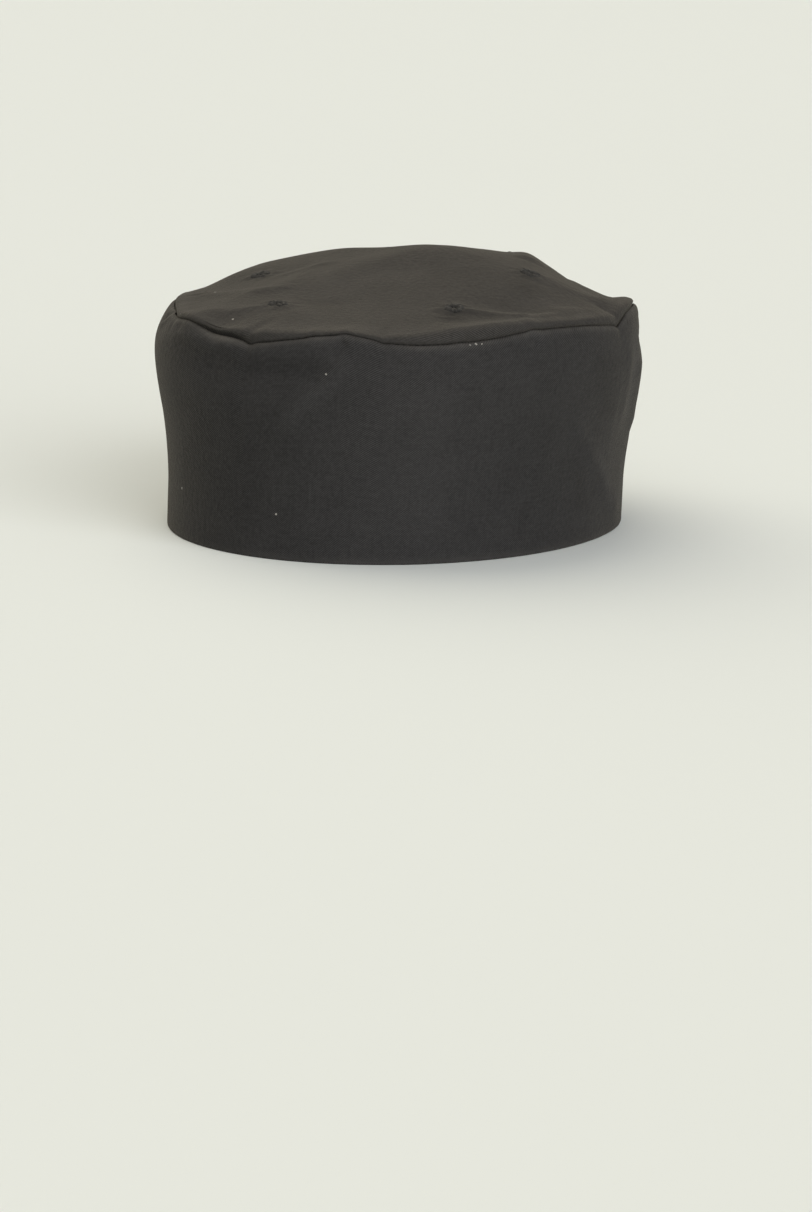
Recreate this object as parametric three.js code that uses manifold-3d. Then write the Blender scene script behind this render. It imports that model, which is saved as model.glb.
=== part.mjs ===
// Skull cap: a tall upright band of charcoal twill with a softly domed oval top panel.
// The front faces -Y, the wearer's left is +X, and the hem stands on z = 0.

import * as THREE from 'three';
import { mergeVertices } from 'three/addons/utils/BufferGeometryUtils.js';
import Module from 'manifold-3d';

// Driving dimensions, in millimetres
const HEM_LENGTH = 206;
const HEM_WIDTH = 161;
const SEAM_HEIGHT = 85;
const SEAM_INSET = 2.4;
const BAND_THICKNESS = 1.8;
const CROWN_THICKNESS = 1.2;
const PIECE_GAP = 0.3;
const PEAK = { x: 3, y: 15, z: 107.6 };
const EYELET = { radius: 4.1, hole: 1.5, height: 2.6, sides: 14 };

// Fineness of the faceted shells
const SEGMENTS_AROUND = 80;
const FULL_TURN = 360;
const WELD_DISTANCE = 0.0001;

// Directions around the cap: 0 is the front, 90 the wearer's left, and each row is one section.
// lift is how far the seam runs above or below SEAM_HEIGHT, tuck how far it is drawn in,
// over how far the crown's edge bulges past it, lip how high that edge rolls, and bulge scales
// the band's flare. outer, mid and inner are the crown's heights at 0.85, 0.6 and 0.3 of the way
// from its peak to its edge.
const DIRECTIONS = [
  { angle: -180, lift: -0.8, tuck: 0, over: 0.4, lip: 3.4, outer: 92.6, mid: 99.6, inner: 104.5, bulge: 0.85 },
  { angle: -150, lift: 0, tuck: 0, over: 0.4, lip: 3.6, outer: 94, mid: 99.2, inner: 103.6, bulge: 0.9 },
  { angle: -120, lift: 0.5, tuck: 0, over: 0.4, lip: 3.8, outer: 95.2, mid: 99.6, inner: 104.2, bulge: 0.95 },
  { angle: -90, lift: -0.5, tuck: 0, over: 0.4, lip: 3.8, outer: 94.8, mid: 100.2, inner: 104.4, bulge: 1 },
  { angle: -72, lift: -1.2, tuck: 0.2, over: 0.2, lip: 2.2, outer: 93.2, mid: 98.2, inner: 103.4, bulge: 1.04 },
  { angle: -59, lift: 0.2, tuck: 1.5, over: 0.1, lip: 2, outer: 90.6, mid: 96.4, inner: 102.9, bulge: 1.06 },
  { angle: -48, lift: 0.8, tuck: 2.6, over: 0, lip: 2.2, outer: 90, mid: 95.8, inner: 102.7, bulge: 1.08 },
  { angle: -36, lift: 0, tuck: 2.7, over: 0.1, lip: 2.4, outer: 90.2, mid: 95.6, inner: 102.4, bulge: 1.08 },
  { angle: -27, lift: -0.2, tuck: 0.7, over: 0.4, lip: 2.8, outer: 90.4, mid: 95.4, inner: 102, bulge: 1.08 },
  { angle: -14, lift: 0.4, tuck: 0, over: 0.5, lip: 3, outer: 90.4, mid: 94.4, inner: 101.2, bulge: 1.05 },
  { angle: -4, lift: -1, tuck: 0, over: 0.5, lip: 3.4, outer: 90.2, mid: 93.6, inner: 100.6, bulge: 1.02 },
  { angle: 5, lift: -3, tuck: 0, over: 0.5, lip: 5.2, outer: 90, mid: 93.2, inner: 100.2, bulge: 1 },
  { angle: 17, lift: -0.4, tuck: 0, over: 0.5, lip: 3.2, outer: 89.6, mid: 93, inner: 100, bulge: 1 },
  { angle: 30, lift: 2.4, tuck: 0, over: 0.2, lip: 1.6, outer: 89.8, mid: 93.4, inner: 100.2, bulge: 1 },
  { angle: 42, lift: -0.6, tuck: 0, over: 0.4, lip: 3.2, outer: 89.8, mid: 94.2, inner: 101, bulge: 1 },
  { angle: 55, lift: -0.8, tuck: 0, over: 0.5, lip: 5.4, outer: 91, mid: 95.4, inner: 101.8, bulge: 1 },
  { angle: 66, lift: 0.6, tuck: 0, over: 0.5, lip: 5.6, outer: 91.4, mid: 96.6, inner: 102.6, bulge: 1 },
  { angle: 76, lift: 2.4, tuck: 0, over: 0.5, lip: 3.8, outer: 91.8, mid: 98, inner: 103.4, bulge: 1 },
  { angle: 90, lift: 1.9, tuck: 0, over: 0.5, lip: 3.4, outer: 92.8, mid: 99.6, inner: 104.4, bulge: 0.98 },
  { angle: 103, lift: -0.2, tuck: 0.1, over: 0.5, lip: 4.6, outer: 92.8, mid: 99.8, inner: 105.2, bulge: 0.92 },
  { angle: 108, lift: -1.2, tuck: 0.3, over: 0.4, lip: 5, outer: 92.6, mid: 99.7, inner: 105.3, bulge: 0.9 },
  { angle: 116, lift: 2, tuck: 0.8, over: 0.3, lip: 3.6, outer: 92.2, mid: 99.6, inner: 105.4, bulge: 0.85 },
  { angle: 130, lift: 2, tuck: 1.6, over: 0.3, lip: 2.6, outer: 89.8, mid: 98.8, inner: 105.4, bulge: 0.8 },
  { angle: 145, lift: -2, tuck: 1.2, over: 0.3, lip: 2.6, outer: 86.8, mid: 98.6, inner: 105.2, bulge: 0.75 },
  { angle: 162, lift: -4, tuck: 0.4, over: 0.4, lip: 2.6, outer: 86.8, mid: 99, inner: 104.8, bulge: 0.78 },
];
const CROWN_SHARES = { inner: 0.3, mid: 0.6, outer: 0.85 };

// The band's upright section: share of the way up, and how far it stands out from the hem's oval
const FLARE = [
  { share: 0, out: 0 },
  { share: 0.12, out: 0.05 },
  { share: 0.24, out: 0.2 },
  { share: 0.41, out: 1.4 },
  { share: 0.53, out: 2.8 },
  { share: 0.62, out: 4.3 },
  { share: 0.72, out: 5.7 },
  { share: 0.81, out: 6.3 },
  { share: 0.89, out: 5.8 },
  { share: 0.945, out: 4.9 },
  { share: 0.975, out: 4.1 },
  { share: 0.992, out: 3.3 },
  { share: 1, out: SEAM_INSET },
];
const BULGE_FADE = 0.15;

// Soft folds of the band: from one angle and share to another, their half width and how far they rise
const BAND_FOLDS = [
  { name: 'ridge under the front right seam', from: [-22, 0.93], to: [14, 0.94], width: 4, rise: 0.7 },
  { name: 'hollow under that ridge', from: [-12, 0.86], to: [27, 0.84], width: 8, rise: -1.3 },
  { name: 'broad diagonal fold', from: [32, 0.86], to: [8, 0.6], width: 14, rise: 0.8 },
  { name: 'upright hollow beside it', from: [43, 0.9], to: [44, 0.6], width: 7, rise: -0.6 },
  { name: 'diagonal fold low on the left', from: [94, 0.48], to: [122, 0.06], width: 8, rise: 0.9 },
  { name: 'upright fold on the left', from: [121, 0.78], to: [130, 0.42], width: 9, rise: 1.6 },
  { name: 'slack below the left corner', from: [122, 0.96], to: [137, 0.88], width: 9, rise: -2.4 },
];

// Soft creases of the crown: from one plan point to another, their half width and how far they rise
const CROWN_FOLDS = [
  { name: 'ridge from the front left eyelet', from: [53, -37], to: [77, -17], width: 6, rise: 1 },
  { name: 'end of that ridge', from: [77, -17], to: [76, 16], width: 5, rise: 0.6 },
  { name: 'crease beside the front eyelet', from: [-24, -96], to: [-6, -78], width: 5, rise: 0.6 },
  { name: 'long crease, front part', from: [-55, -64], to: [-22, -57], width: 6, rise: 0.8 },
  { name: 'long crease, back part', from: [-22, -57], to: [-30, -6], width: 6, rise: 0.7 },
  { name: 'ridge behind the front right eyelet', from: [-64, 24], to: [-28, 2], width: 9, rise: 0.6 },
  { name: 'ridge from the back left eyelet', from: [48, 24], to: [70, 42], width: 7, rise: 0.9 },
  { name: 'swell behind the back left eyelet', from: [30, 40], to: [13, 62], width: 6, rise: 1.9 },
];
const FOLD_END_SHARE = 0.25;
const FOLD_END_HEIGHT = 0.35;

// Vent eyelets, each on a ray from the peak toward an angle of the edge, and how far along it
const EYELETS = [
  { name: 'vent_eyelet_front', angle: -5.5, share: 0.755 },
  { name: 'vent_eyelet_front_left', angle: 58, share: 0.735 },
  { name: 'vent_eyelet_back_left', angle: 104, share: 0.56 },
  { name: 'vent_eyelet_back', angle: 178, share: 0.62 },
  { name: 'vent_eyelet_back_right', angle: -127, share: 0.66 },
  { name: 'vent_eyelet_front_right', angle: -61, share: 0.715 },
];

// Colours and finishes
const CHARCOAL_BAND = new THREE.MeshStandardMaterial({ color: 0x383736, roughness: 0.92, metalness: 0 });
const CHARCOAL_CROWN = new THREE.MeshStandardMaterial({ color: 0x42403d, roughness: 0.92, metalness: 0 });
const DARK_THREAD = new THREE.MeshStandardMaterial({ color: 0x2b2928, roughness: 0.8, metalness: 0 });

// A smooth curve through rows of a table, read at x; slopes follow each row's neighbours
function smoothThrough(xs, ys, x, startSlope, endSlope) {
  const last = xs.length - 1;
  let i = 0;
  while (i < last - 1 && x >= xs[i + 1]) i += 1;
  const slope = (k) => {
    if (k === 0) return startSlope ?? (ys[1] - ys[0]) / (xs[1] - xs[0]);
    if (k === last) return endSlope ?? (ys[last] - ys[last - 1]) / (xs[last] - xs[last - 1]);
    return (ys[k + 1] - ys[k - 1]) / (xs[k + 1] - xs[k - 1]);
  };
  const step = xs[i + 1] - xs[i];
  const t = (x - xs[i]) / step;
  const t2 = t * t;
  const t3 = t2 * t;
  const start = (2 * t3 - 3 * t2 + 1) * ys[i] + (t3 - 2 * t2 + t) * step * slope(i);
  const end = (3 * t2 - 2 * t3) * ys[i + 1] + (t3 - t2) * step * slope(i + 1);
  return start + end;
}

// One column of DIRECTIONS at any angle, smooth all the way round
const WRAPPED = [-1, 0, 1].flatMap((turn) =>
  DIRECTIONS.map((row) => ({ ...row, angle: row.angle + turn * FULL_TURN })),
);
const WRAPPED_ANGLES = WRAPPED.map((row) => row.angle);

function around(column, angle) {
  return smoothThrough(WRAPPED_ANGLES, WRAPPED.map((row) => row[column]), angle);
}

// A plan point on the hem's oval at an angle, moved out along the oval's own outward direction
function ovalPoint(angle, out) {
  const turn = THREE.MathUtils.degToRad(angle);
  const normal = new THREE.Vector2(HEM_LENGTH * Math.sin(turn), -HEM_WIDTH * Math.cos(turn)).normalize();
  const x = (HEM_WIDTH / 2) * Math.sin(turn) + normal.x * out;
  const y = -(HEM_LENGTH / 2) * Math.cos(turn) + normal.y * out;
  return new THREE.Vector2(x, y);
}

// The height that a list of folds adds at a point, each fold a soft ridge that fades at its ends
function foldHeight(folds, point) {
  let height = 0;
  for (const fold of folds) {
    const along = new THREE.Vector2().subVectors(fold.end, fold.start);
    const length = along.length();
    along.divideScalar(length);
    const offset = new THREE.Vector2().subVectors(point, fold.start);
    const reach = THREE.MathUtils.clamp(offset.dot(along), 0, length);
    const distance = offset.addScaledVector(along, -reach).length();
    const nearEnd = Math.min(reach, length - reach) / (FOLD_END_SHARE * length);
    const fade = Math.min(1, nearEnd + FOLD_END_HEIGHT);
    height += fold.rise * fade * Math.exp(-((distance / fold.width) ** 2));
  }
  return height;
}

// The band's cloth laid flat: arc length around the oval and height, where its folds are measured
const MEAN_RADIUS = Math.hypot(HEM_LENGTH / 2, HEM_WIDTH / 2) / Math.SQRT2;

function bandFlat(angle, share) {
  return new THREE.Vector2(THREE.MathUtils.degToRad(angle) * MEAN_RADIUS, share * SEAM_HEIGHT);
}

const BAND_FOLDS_FLAT = BAND_FOLDS.map((fold) => ({
  ...fold,
  start: bandFlat(...fold.from),
  end: bandFlat(...fold.to),
}));
const CROWN_FOLDS_FLAT = CROWN_FOLDS.map((fold) => ({
  ...fold,
  start: new THREE.Vector2(...fold.from),
  end: new THREE.Vector2(...fold.to),
}));

function seamHeight(angle) {
  return SEAM_HEIGHT + around('lift', angle);
}

// How far the band stands out from the hem's oval
function bandOut(angle, share) {
  const flare = smoothThrough(FLARE.map((row) => row.share), FLARE.map((row) => row.out), share);
  const fade = THREE.MathUtils.clamp((1 - share) / BULGE_FADE, 0, 1);
  const bulge = 1 + (around('bulge', angle) - 1) * fade;
  const fold = foldHeight(BAND_FOLDS_FLAT, bandFlat(angle, share));
  return flare * bulge + fade * fold - (1 - fade) ** 2 * around('tuck', angle);
}

function bandPoint(angle, share, inward) {
  const plan = ovalPoint(angle, bandOut(angle, share) - inward);
  return new THREE.Vector3(plan.x, plan.y, share * seamHeight(angle));
}

// The band's wall, row by row: up the outside from the hem, over the top edge and down the inside
const OUTSIDE_SHARES = [0.012, 0.2, 0.4, 0.53, 0.64, 0.74, 0.83, 0.9, 0.95, 0.982];
const ALLOWANCE_SHARES = [0.9, 0.94];
const INSIDE_SHARES = [...ALLOWANCE_SHARES].reverse().concat([0.82, 0.72, 0.6, 0.47, 0.32]);
const HEM_ROUNDING = 0.4;
const BAND_ROWS = [
  { share: 0, inward: HEM_ROUNDING },
  ...OUTSIDE_SHARES.map((share) => ({ share, inward: 0 })),
  { share: 1, inward: 0 },
  ...INSIDE_SHARES.map((share) => ({ share, inward: BAND_THICKNESS })),
  { share: 0, inward: BAND_THICKNESS },
];

// The seam allowance: the crown's cloth turned down inside the band, close to the band's inner face
function edgeOut(angle) {
  return SEAM_INSET - around('tuck', angle) - PIECE_GAP;
}

function allowancePoint(angle, share, inward) {
  const room = bandOut(angle, share) - BAND_THICKNESS - PIECE_GAP;
  const plan = ovalPoint(angle, Math.min(edgeOut(angle), room) - inward);
  return new THREE.Vector3(plan.x, plan.y, share * seamHeight(angle));
}

// The crown's rolled edge, row by row from the seam to the top of the roll. out and up are fixed
// distances; over and lip are shares of those columns; in_out and in_up lead to the inner face.
const EDGE_ROWS = [
  { out: 0, up: 0.3, over: 0, lip: 0, in_out: -1, in_up: 0 },
  { out: 0, up: 0.4, over: 0.7, lip: 0.18, in_out: -1, in_up: -0.1 },
  { out: -0.2, up: 0.1, over: 1, lip: 0.55, in_out: -0.98, in_up: -0.25 },
  { out: -1, up: 0, over: 1, lip: 0.86, in_out: -0.8, in_up: -0.6 },
  { out: -3.2, up: 0, over: 0.8, lip: 1, in_out: -0.35, in_up: -1 },
];

function edgePoint(angle, row, inward) {
  const out = edgeOut(angle) + row.out + row.over * around('over', angle) + row.in_out * inward;
  const up = seamHeight(angle) + row.up + row.lip * around('lip', angle) + row.in_up * inward;
  const plan = ovalPoint(angle, out);
  return new THREE.Vector3(plan.x, plan.y, up);
}

// The crown's top face: a ray from the peak to the rolled edge, with the heights of DIRECTIONS
const TOP_OF_ROLL = EDGE_ROWS[EDGE_ROWS.length - 1];

function crownPoint(angle, share, inward) {
  const edge = edgePoint(angle, TOP_OF_ROLL, 0);
  const shares = [0, CROWN_SHARES.inner, CROWN_SHARES.mid, CROWN_SHARES.outer, 1];
  const heights = [PEAK.z, around('inner', angle), around('mid', angle), around('outer', angle), edge.z];
  const x = PEAK.x + (edge.x - PEAK.x) * share;
  const y = PEAK.y + (edge.y - PEAK.y) * share;
  const fold = foldHeight(CROWN_FOLDS_FLAT, new THREE.Vector2(x, y));
  const z = smoothThrough(shares, heights, share, 0) + fold - inward;
  return new THREE.Vector3(x, y, z);
}

const TOP_SHARES = [0.93, 0.84, 0.74, 0.63, 0.51, 0.38, 0.24, 0.1];
const UNDER_SHARES = [0.12, 0.28, 0.45, 0.6, 0.74, 0.86, 0.94];

// A shell of revolution whose rows are then moved to their true places
function shell(rowCount, closed, place) {
  const profile = [];
  for (let row = 0; row < rowCount; row += 1) {
    const onAxis = !closed && (row === 0 || row === rowCount - 1);
    profile.push(new THREE.Vector2(onAxis ? 0 : 1, row));
  }
  if (closed) profile.push(profile[0].clone());
  const geometry = new THREE.LatheGeometry(profile, SEGMENTS_AROUND);
  const position = geometry.getAttribute('position');
  for (let i = 0; i < position.count; i += 1) {
    const segment = Math.floor(i / profile.length) % SEGMENTS_AROUND;
    const row = (i % profile.length) % rowCount;
    const point = place((segment * FULL_TURN) / SEGMENTS_AROUND - FULL_TURN / 2, row);
    position.setXYZ(i, point.x, point.y, point.z);
  }
  return weld(geometry);
}

// Shared vertices merged and triangles without area left out, so that the surface is one closed body
function weld(geometry) {
  const open = geometry.clone();
  open.deleteAttribute('normal');
  open.deleteAttribute('uv');
  const merged = mergeVertices(open, WELD_DISTANCE);
  const corners = Array.from(merged.getIndex().array);
  const kept = [];
  for (let i = 0; i < corners.length; i += 3) {
    const [a, b, c] = corners.slice(i, i + 3);
    if (a !== b && b !== c && c !== a) kept.push(a, b, c);
  }
  merged.setIndex(kept);
  return merged;
}

function bandGeometry() {
  return shell(BAND_ROWS.length, true, (angle, row) => {
    return bandPoint(angle, BAND_ROWS[row].share, BAND_ROWS[row].inward);
  });
}

// The crown without its holes: over the top from the peak, round the edge and back underneath
function crownGeometry() {
  const edge = (inward) => [
    ...ALLOWANCE_SHARES.map((share) => (angle) => allowancePoint(angle, share, inward)),
    ...EDGE_ROWS.map((row) => (angle) => edgePoint(angle, row, inward)),
  ];
  const face = (shares, inward) => shares.map((share) => (angle) => crownPoint(angle, share, inward));
  const rows = [
    ...face([0, ...UNDER_SHARES], CROWN_THICKNESS),
    ...edge(CROWN_THICKNESS).reverse(),
    ...edge(0),
    ...face([...TOP_SHARES, 0], 0),
  ];
  return shell(rows.length, false, (angle, row) => rows[row](angle));
}

// Where an eyelet sits and the way it faces, from three near points of the crown
const NEARBY_ANGLE = 2;
const NEARBY_SHARE = 0.03;

function eyeletFrame(eyelet) {
  const here = crownPoint(eyelet.angle, eyelet.share, CROWN_THICKNESS / 2);
  const beside = crownPoint(eyelet.angle + NEARBY_ANGLE, eyelet.share, CROWN_THICKNESS / 2);
  const beyond = crownPoint(eyelet.angle, eyelet.share + NEARBY_SHARE, CROWN_THICKNESS / 2);
  const normal = beyond.sub(here).cross(beside.sub(here)).normalize();
  const facing = new THREE.Quaternion().setFromUnitVectors(new THREE.Vector3(0, 0, 1), normal);
  return { here, facing };
}

// A stitched ring with rounded edges
function eyeletGeometry() {
  const half = EYELET.height / 2;
  const edge = half / 2;
  const profile = [
    new THREE.Vector2(EYELET.hole, -edge),
    new THREE.Vector2(EYELET.hole + edge, -half),
    new THREE.Vector2(EYELET.radius - edge, -half),
    new THREE.Vector2(EYELET.radius, -edge),
    new THREE.Vector2(EYELET.radius, edge),
    new THREE.Vector2(EYELET.radius - edge, half),
    new THREE.Vector2(EYELET.hole + edge, half),
    new THREE.Vector2(EYELET.hole, edge),
    new THREE.Vector2(EYELET.hole, -edge),
  ];
  const ring = new THREE.LatheGeometry(profile, EYELET.sides);
  ring.rotateX(Math.PI / 2);
  return weld(ring);
}

// Solids for cutting
const wasm = await Module();
wasm.setup();

function toSolid(geometry) {
  const vertProperties = new Float32Array(geometry.getAttribute('position').array);
  const triVerts = new Uint32Array(geometry.getIndex().array);
  return new wasm.Manifold(new wasm.Mesh({ numProp: 3, vertProperties, triVerts }));
}

function fromSolid(solid) {
  const mesh = solid.getMesh();
  const geometry = new THREE.BufferGeometry();
  geometry.setAttribute('position', new THREE.BufferAttribute(new Float32Array(mesh.vertProperties), 3));
  geometry.setIndex(new THREE.BufferAttribute(new Uint32Array(mesh.triVerts), 1));
  return geometry;
}

// The crown with a round hole for each eyelet, a gap wider than the ring
function piercedCrown() {
  const drillLength = 4 * CROWN_THICKNESS;
  let solid = toSolid(crownGeometry());
  for (const eyelet of EYELETS) {
    const { here, facing } = eyeletFrame(eyelet);
    const radius = EYELET.radius + PIECE_GAP;
    const drill = new THREE.CylinderGeometry(radius, radius, drillLength, EYELET.sides);
    drill.rotateX(Math.PI / 2);
    drill.applyQuaternion(facing);
    drill.translate(here.x, here.y, here.z);
    solid = solid.subtract(toSolid(weld(drill)));
  }
  return fromSolid(solid);
}

function namedMesh(name, geometry, material) {
  const mesh = new THREE.Mesh(geometry, material);
  mesh.name = name;
  return mesh;
}

const cap = new THREE.Group();
cap.add(namedMesh('side_band', bandGeometry(), CHARCOAL_BAND));
cap.add(namedMesh('crown', piercedCrown(), CHARCOAL_CROWN));

for (const eyelet of EYELETS) {
  const { here, facing } = eyeletFrame(eyelet);
  const ring = namedMesh(eyelet.name, eyeletGeometry(), DARK_THREAD);
  ring.position.copy(here);
  ring.quaternion.copy(facing);
  cap.add(ring);
}

export default cap;
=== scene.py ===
import math
import random
from collections import namedtuple

import bmesh
import bpy
import numpy as np
from bpy.props import FloatProperty, FloatVectorProperty, IntProperty, PointerProperty
from mathutils import Matrix, Vector, noise


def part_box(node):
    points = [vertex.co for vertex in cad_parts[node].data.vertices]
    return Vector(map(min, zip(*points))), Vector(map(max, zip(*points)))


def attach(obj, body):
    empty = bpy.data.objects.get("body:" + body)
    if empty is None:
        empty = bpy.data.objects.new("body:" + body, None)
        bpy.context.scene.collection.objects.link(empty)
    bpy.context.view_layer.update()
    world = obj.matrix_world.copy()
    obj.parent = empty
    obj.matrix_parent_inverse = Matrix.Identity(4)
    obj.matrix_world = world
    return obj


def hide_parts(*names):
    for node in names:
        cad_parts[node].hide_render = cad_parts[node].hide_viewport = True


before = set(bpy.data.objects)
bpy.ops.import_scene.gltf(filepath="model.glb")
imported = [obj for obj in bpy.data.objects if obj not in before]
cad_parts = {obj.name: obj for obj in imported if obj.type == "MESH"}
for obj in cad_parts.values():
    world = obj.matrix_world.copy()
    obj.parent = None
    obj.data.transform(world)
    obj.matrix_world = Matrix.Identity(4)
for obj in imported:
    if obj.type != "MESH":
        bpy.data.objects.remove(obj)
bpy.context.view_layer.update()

bl_info = {
    "name": "Skull cap",
    "version": (1, 0, 0),
    "blender": (4, 5, 0),
    "location": "View3D > Sidebar > Skull cap",
    "description": "Makes the cloth, the stitched vent eyelets and the studio of a twill skull cap",
    "category": "Object",
}

MM = 0.001
FULL_TURN = 360

# Driving dimensions, in millimetres, as the frame was made
HEM_LENGTH = 206
HEM_WIDTH = 161
SEAM_HEIGHT = 85
SEAM_INSET = 2.4
PIECE_GAP = 0.3
PEAK_X = 3
PEAK_Y = 15
PEAK_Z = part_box("crown")[1].z / MM
EYELET_RADIUS = 4.1
EYELET_HOLE = 1.5

# Fineness of the meshes
BAND_STEPS = 800
CROWN_GRID = 168
JOIN_DISTANCE = 0.00001

# Directions around the cap: 0 is the front, 90 the wearer's left, and each row is one section.
# lift is how far the seam runs above or below SEAM_HEIGHT, tuck how far it is drawn in,
# over how far the crown's edge bulges past it, lip how high that edge rolls, and bulge scales
# the band's flare. outer, mid and inner are the crown's heights at 0.85, 0.6 and 0.3 of the way
# from its peak to its edge.
Direction = namedtuple("Direction", "angle lift tuck over lip outer mid inner bulge")
DIRECTIONS = [Direction(*row) for row in [
    (-180, -0.8, 0, 0.4, 3.4, 92.6, 99.6, 104.5, 0.85),
    (-150, 0, 0, 0.4, 3.6, 94, 99.2, 103.6, 0.9),
    (-120, 0.5, 0, 0.4, 3.8, 95.2, 99.6, 104.2, 0.95),
    (-90, -0.5, 0, 0.4, 3.8, 94.8, 100.2, 104.4, 1),
    (-72, -1.2, 0.2, 0.2, 2.2, 93.2, 98.2, 103.4, 1.04),
    (-59, 0.2, 1.5, 0.1, 2, 90.6, 96.4, 102.9, 1.06),
    (-48, 0.8, 2.6, 0, 2.2, 90, 95.8, 102.7, 1.08),
    (-36, 0, 2.7, 0.1, 2.4, 90.2, 95.6, 102.4, 1.08),
    (-27, -0.2, 0.7, 0.4, 2.8, 90.4, 95.4, 102, 1.08),
    (-14, 0.4, 0, 0.5, 3, 90.4, 94.4, 101.2, 1.05),
    (-4, -1, 0, 0.5, 3.4, 90.2, 93.6, 100.6, 1.02),
    (5, -3, 0, 0.5, 5.2, 90, 93.2, 100.2, 1),
    (17, -0.4, 0, 0.5, 3.2, 89.6, 93, 100, 1),
    (30, 2.4, 0, 0.2, 1.6, 89.8, 93.4, 100.2, 1),
    (42, -0.6, 0, 0.4, 3.2, 89.8, 94.2, 101, 1),
    (55, -0.8, 0, 0.5, 5.4, 91, 95.4, 101.8, 1),
    (66, 0.6, 0, 0.5, 5.6, 91.4, 96.6, 102.6, 1),
    (76, 2.4, 0, 0.5, 3.8, 91.8, 98, 103.4, 1),
    (90, 1.9, 0, 0.5, 3.4, 92.8, 99.6, 104.4, 0.98),
    (103, -0.2, 0.1, 0.5, 4.6, 92.8, 99.8, 105.2, 0.92),
    (108, -1.2, 0.3, 0.4, 5, 92.6, 99.7, 105.3, 0.9),
    (116, 2, 0.8, 0.3, 3.6, 92.2, 99.6, 105.4, 0.85),
    (130, 2, 1.6, 0.3, 2.6, 89.8, 98.8, 105.4, 0.8),
    (145, -2, 1.2, 0.3, 2.6, 86.8, 98.6, 105.2, 0.75),
    (162, -4, 0.4, 0.4, 2.6, 86.8, 99, 104.8, 0.78),
]]
CROWN_SHARES = [0, 0.3, 0.6, 0.85, 1]

# The band's upright section: share of the way up, and how far it stands out from the hem's oval
Flare = namedtuple("Flare", "share out")
FLARE = [Flare(*row) for row in [
    (0, 0),
    (0.12, 0.05),
    (0.24, 0.2),
    (0.41, 1.4),
    (0.53, 2.8),
    (0.62, 4.3),
    (0.72, 5.7),
    (0.81, 6.3),
    (0.89, 5.8),
    (0.945, 4.9),
    (0.975, 4.1),
    (0.992, 3.3),
    (1, SEAM_INSET),
]]
BULGE_FADE = 0.15

# Folds: from one point to another, their half width and how far they rise. Folds of the band run
# between an angle and a share of its height, and folds of the crown between plan points.
Fold = namedtuple("Fold", "name start end width rise")
BAND_FOLDS = [Fold(*row) for row in [
    ("ridge under the front right seam", (-22, 0.93), (14, 0.94), 4, 0.7),
    ("hollow under that ridge", (-12, 0.86), (27, 0.84), 8, -1.3),
    ("broad diagonal fold", (32, 0.86), (8, 0.6), 14, 0.8),
    ("upright hollow beside it", (43, 0.9), (44, 0.6), 7, -0.6),
    ("diagonal fold low on the left", (94, 0.48), (122, 0.06), 8, 0.9),
    ("upright fold on the left", (121, 0.78), (130, 0.42), 9, 1.6),
    ("slack below the left corner", (122, 0.96), (137, 0.88), 9, -2.4),
]]
CROWN_FOLDS = [Fold(*row) for row in [
    ("ridge from the front left eyelet", (53, -37), (77, -17), 6, 1),
    ("end of that ridge", (77, -17), (76, 16), 5, 0.6),
    ("crease beside the front eyelet", (-24, -96), (-6, -78), 5, 0.6),
    ("long crease, front part", (-55, -64), (-22, -57), 6, 0.8),
    ("long crease, back part", (-22, -57), (-30, -6), 6, 0.7),
    ("ridge behind the front right eyelet", (-64, 24), (-28, 2), 9, 0.6),
    ("ridge from the back left eyelet", (48, 24), (70, 42), 7, 0.9),
    ("swell behind the back left eyelet", (30, 40), (13, 62), 6, 1.9),
]]
FOLD_END_SHARE = 0.25
FOLD_END_HEIGHT = 0.35

# Finer puckers and creases, which only the finished cloth has
BAND_PUCKERS = [Fold(*row) for row in [
    ("pucker where the seam peaks at the front", (28.8, 1), (29.4, 0.955), 1.3, -1),
    ("lift beside that pucker", (31.2, 0.985), (31.4, 0.95), 1.6, 0.9),
    ("dimple below the front left seam", (70.5, 0.985), (72, 0.9), 1.5, -0.5),
    ("crest of the diagonal fold", (32, 0.895), (14, 0.605), 2.8, 0.8),
    ("hollow under the front right edge", (-24, 0.89), (5, 0.915), 4, -0.9),
    ("end of that hollow", (5, 0.915), (27, 0.855), 3.5, -0.9),
    ("soft upright edge at the front left", (48, 0.93), (50, 0.12), 9, 0.7),
    ("crest of the fold low on the left", (90, 0.57), (104, 0.3), 3.5, 0.5),
    ("foot of that fold", (104, 0.3), (117, 0.08), 4, 0.6),
    ("upright ridge near the left edge", (112.5, 0.88), (114, 0.5), 4, 0.6),
    ("hollow above the diagonal fold", (17, 0.84), (4, 0.7), 7, -0.4),
    ("hollow below the diagonal fold", (38, 0.8), (24, 0.6), 7, -0.4),
    ("pucker where the seam peaks on the left", (74.6, 1), (76, 0.93), 1.5, -0.8),
    ("lift beside that pucker on the left", (78, 1), (80, 0.95), 2.4, 0.35),
    ("small tuck at the front right corner", (-27, 1), (-28, 0.955), 1.7, -0.4),
    ("ridge round the front right corner", (-32, 1), (-38.5, 0.925), 1.8, 0.8),
    ("groove behind that ridge", (-35.5, 1), (-40.5, 0.955), 1.5, -0.9),
    ("hollow inside the front right edge", (-24, 0.975), (-15, 0.96), 1.7, -0.6),
    ("edge of the front right fold", (-20, 0.947), (3, 0.974), 1.9, 0.65),
    ("small tuck at the left corner", (108, 1), (107, 0.96), 1.8, -0.25),
]]
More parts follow.
